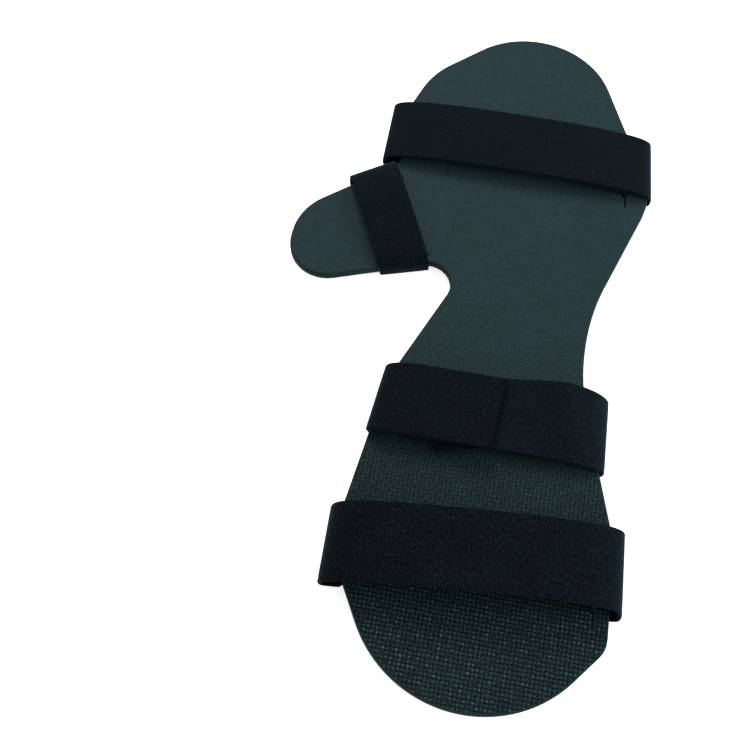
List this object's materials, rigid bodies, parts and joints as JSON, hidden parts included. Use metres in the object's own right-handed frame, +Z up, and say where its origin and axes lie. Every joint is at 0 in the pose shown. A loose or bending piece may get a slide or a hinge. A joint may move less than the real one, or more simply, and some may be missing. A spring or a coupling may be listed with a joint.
{
  "type": "resting hand splint",
  "caption": "Flat hand-shaped foam splint board with a thumb lobe; loose fabric straps loop through slits by its edges to hold the fingers, thumb, wrist and forearm.",
  "frame": {"origin": "on the surface it lies on, under the middle of the outer box", "axes": "+Y from the forearm end to the fingertips, the thumb lobe at -X, +Z up from the board's face"},
  "size_m": [0.1817, 0.3626, 0.0235],
  "materials": {
    "foam": "matte embossed closed-cell foam",
    "strap": "brushed loop fabric",
    "hook": "matte hook tape"
  },
  "bodies": {
    "root": {"foam_board": "foam", "finger_strap": "strap", "thumb_strap": "strap", "wrist_strap_left": "strap", "wrist_strap_right": "strap", "forearm_strap": "strap", "wrist_hook_patch": "hook"}
  },
  "joints": []
}
